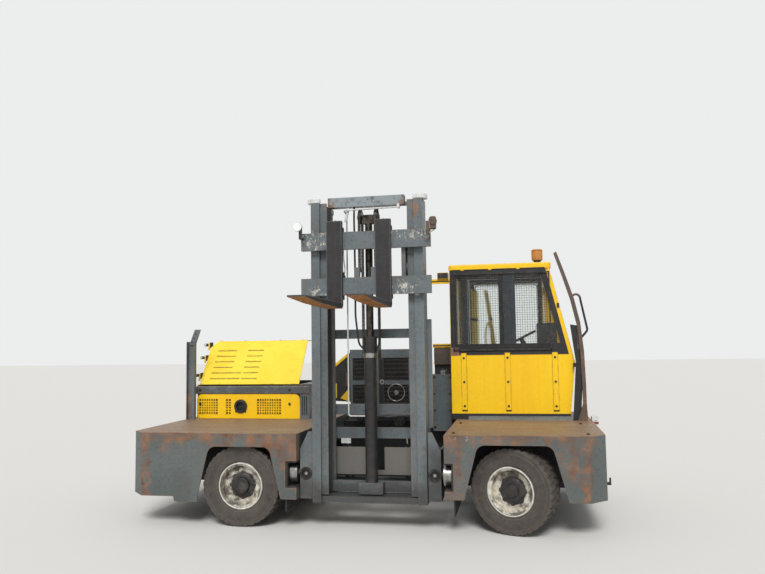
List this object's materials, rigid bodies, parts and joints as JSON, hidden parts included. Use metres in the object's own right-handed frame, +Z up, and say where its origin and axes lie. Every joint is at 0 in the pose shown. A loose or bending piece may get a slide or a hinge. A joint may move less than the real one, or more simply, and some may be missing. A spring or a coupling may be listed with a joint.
{
  "type": "side loader forklift",
  "caption": "Low platform truck with a reaching upright mast and forks in a central well, a cab at one end and an engine hood at the other.",
  "frame": {"origin": "middle of the footprint, on the ground, with the mast reached out", "axes": "+X along the truck towards the cab, +Y away from the loading face, +Z up"},
  "size_m": [4.398, 3.4644, 3.003],
  "materials": {
    "deck_grey": "worn dark grey paint with rust at the edges",
    "mast_grey": "worn blue-grey paint",
    "body_yellow": "semi-gloss yellow paint",
    "frame_black": "satin black paint",
    "guard_brown": "worn dark paint over rusty steel",
    "fork_steel": "forged steel with rust and worn paint",
    "cast_grey": "oily cast iron",
    "bright_steel": "ground steel",
    "chrome_rod": "hard chrome",
    "rim_paint": "chalky off-white paint",
    "tyre": "dusty solid rubber",
    "glass": "clear",
    "seat_fabric": "dark vinyl cloth",
    "dark_plastic": "matte",
    "amber": "clear amber"
  },
  "bodies": {
    "truck": {"chassis_frame": "deck_grey", "rear_deck": "deck_grey", "front_deck": "deck_grey", "mast_rails": "deck_grey", "kick_plate": "mast_grey", "fuel_tank": "deck_grey", "drive_axle": "cast_grey", "steer_axle": "cast_grey", "engine": "cast_grey", "grille_panel": "body_yellow", "exhaust_outlet": "bright_steel", "engine_bay": "mast_grey", "hood_rail": "mast_grey", "rear_post": "mast_grey", "cooler": "frame_black", "hydraulic_tank": "mast_grey", "cab_base": "frame_black", "cab_near_wall": "body_yellow", "cab_far_wall": "body_yellow", "cab_rear_wall": "body_yellow", "cab_front_wall": "body_yellow", "cab_roof": "body_yellow", "cab_glass": "glass", "window_frame": "frame_black", "seat": "seat_fabric", "driver_console": "dark_plastic", "guard_bar": "guard_brown", "beacon": "amber", "rear_lamp": "body_yellow", "end_fittings": "frame_black"},
    "hood": {"engine_hood": "body_yellow"},
    "door": {"cab_door": "body_yellow", "door_glass": "glass"},
    "near_knuckle": {"knuckle_near": "cast_grey"},
    "far_knuckle": {"knuckle_far": "cast_grey"},
    "steering_link": {"tie_rod": "cast_grey"},
    "reach": {"reach_frame": "mast_grey", "reach_rollers": "bright_steel"},
    "mast": {"outer_mast": "mast_grey", "lift_barrels": "mast_grey"},
    "tilt_cylinders": {"tilt_barrels": "mast_grey"},
    "tilt_rams": {"tilt_rods": "chrome_rod"},
    "upper_mast": {"inner_mast": "mast_grey", "free_lift_barrel": "frame_black", "mast_pipes": "bright_steel"},
    "crosshead": {"lift_crosshead": "bright_steel", "lift_chains": "bright_steel"},
    "carriage": {"fork_carriage": "mast_grey", "fork_rear": "fork_steel", "fork_front": "fork_steel", "work_lamps": "frame_black"},
    "wheel_rear_near": {"tyre_rear_near": "tyre", "rim_rear_near": "rim_paint"},
    "wheel_rear_far": {"tyre_rear_far": "tyre", "rim_rear_far": "rim_paint"},
    "wheel_front_near": {"tyre_front_near": "tyre", "rim_front_near": "rim_paint"},
    "wheel_front_far": {"tyre_front_far": "tyre", "rim_front_far": "rim_paint"}
  },
  "joints": [
    {"name": "reach", "type": "slide", "parent": "truck", "child": "reach", "axis": [0, 1, 0], "range_m": [0, 1.15]},
    {"name": "mast_tilt", "type": "hinge", "parent": "reach", "child": "mast", "pos_m": [0.101, -0.386, 0.34], "axis": [1, 0, 0], "range_deg": [-4, 3]},
    {"name": "tilt_cylinder_swing", "type": "hinge", "parent": "reach", "child": "tilt_cylinders", "pos_m": [0.101, 0.004, 0.43], "axis": [1, 0, 0], "range_deg": [-5, 4]},
    {"name": "tilt_ram", "type": "slide", "parent": "tilt_cylinders", "child": "tilt_rams", "axis": [0, -0.3383, 0.941], "range_m": [-0.035, 0.03]},
    {"name": "mast_lift", "type": "slide", "parent": "mast", "child": "upper_mast", "axis": [0, 0, 1], "range_m": [0, 1.9]},
    {"name": "carriage_lift", "type": "slide", "parent": "upper_mast", "child": "carriage", "axis": [0, 0, 1], "range_m": [-1.95, 0]},
    {"name": "crosshead_lift", "type": "slide", "parent": "upper_mast", "child": "crosshead", "axis": [0, 0, 1], "range_m": [-0.98, 0.001]},
    {"name": "steer_near", "type": "hinge", "parent": "truck", "child": "near_knuckle", "pos_m": [1.421, -0.2455, 0.366], "axis": [0, 0, 1], "range_deg": [-25, 65]},
    {"name": "steer_far", "type": "hinge", "parent": "truck", "child": "far_knuckle", "pos_m": [1.421, 1.3735, 0.366], "axis": [0, 0, 1], "range_deg": [-25, 65]},
    {"name": "steering_link_swing", "type": "hinge", "parent": "near_knuckle", "child": "steering_link", "pos_m": [1.26125, -0.18736, 0.266], "axis": [0, 0, 1], "range_deg": [-65, 25]},
    {"name": "spin_rear_near", "type": "hinge", "parent": "truck", "child": "wheel_rear_near", "pos_m": [-1.096, -0.3935, 0.366], "axis": [0, 1, 0], "continuous": true},
    {"name": "spin_rear_far", "type": "hinge", "parent": "truck", "child": "wheel_rear_far", "pos_m": [-1.096, 1.5215, 0.366], "axis": [0, 1, 0], "continuous": true},
    {"name": "spin_front_near", "type": "hinge", "parent": "near_knuckle", "child": "wheel_front_near", "pos_m": [1.37038, -0.38458, 0.366], "axis": [0.342, 0.9397, 0], "continuous": true},
    {"name": "spin_front_far", "type": "hinge", "parent": "far_knuckle", "child": "wheel_front_far", "pos_m": [1.47162, 1.51258, 0.366], "axis": [0.342, 0.9397, 0], "continuous": true},
    {"name": "hood_hinge", "type": "hinge", "parent": "truck", "child": "hood", "pos_m": [-1.529, 1.668, 1.7], "axis": [-1, 0, 0], "range_deg": [0, 55]},
    {"name": "cab_door_hinge", "type": "hinge", "parent": "truck", "child": "door", "pos_m": [1.731, 1.698, 1.658], "axis": [0, 0, -1], "range_deg": [0, 80]}
  ],
  "couplings": [
    {"joint": "tilt_cylinder_swing", "follows": "mast_tilt", "ratio": 0.87988},
    {"joint": "tilt_ram", "follows": "mast_tilt", "m_per_rad": 0.39745},
    {"joint": "crosshead_lift", "follows": "carriage_lift", "ratio": 0.5},
    {"joint": "steer_far", "follows": "steer_near", "ratio": 1},
    {"joint": "steering_link_swing", "follows": "steer_near", "ratio": -1}
  ]
}
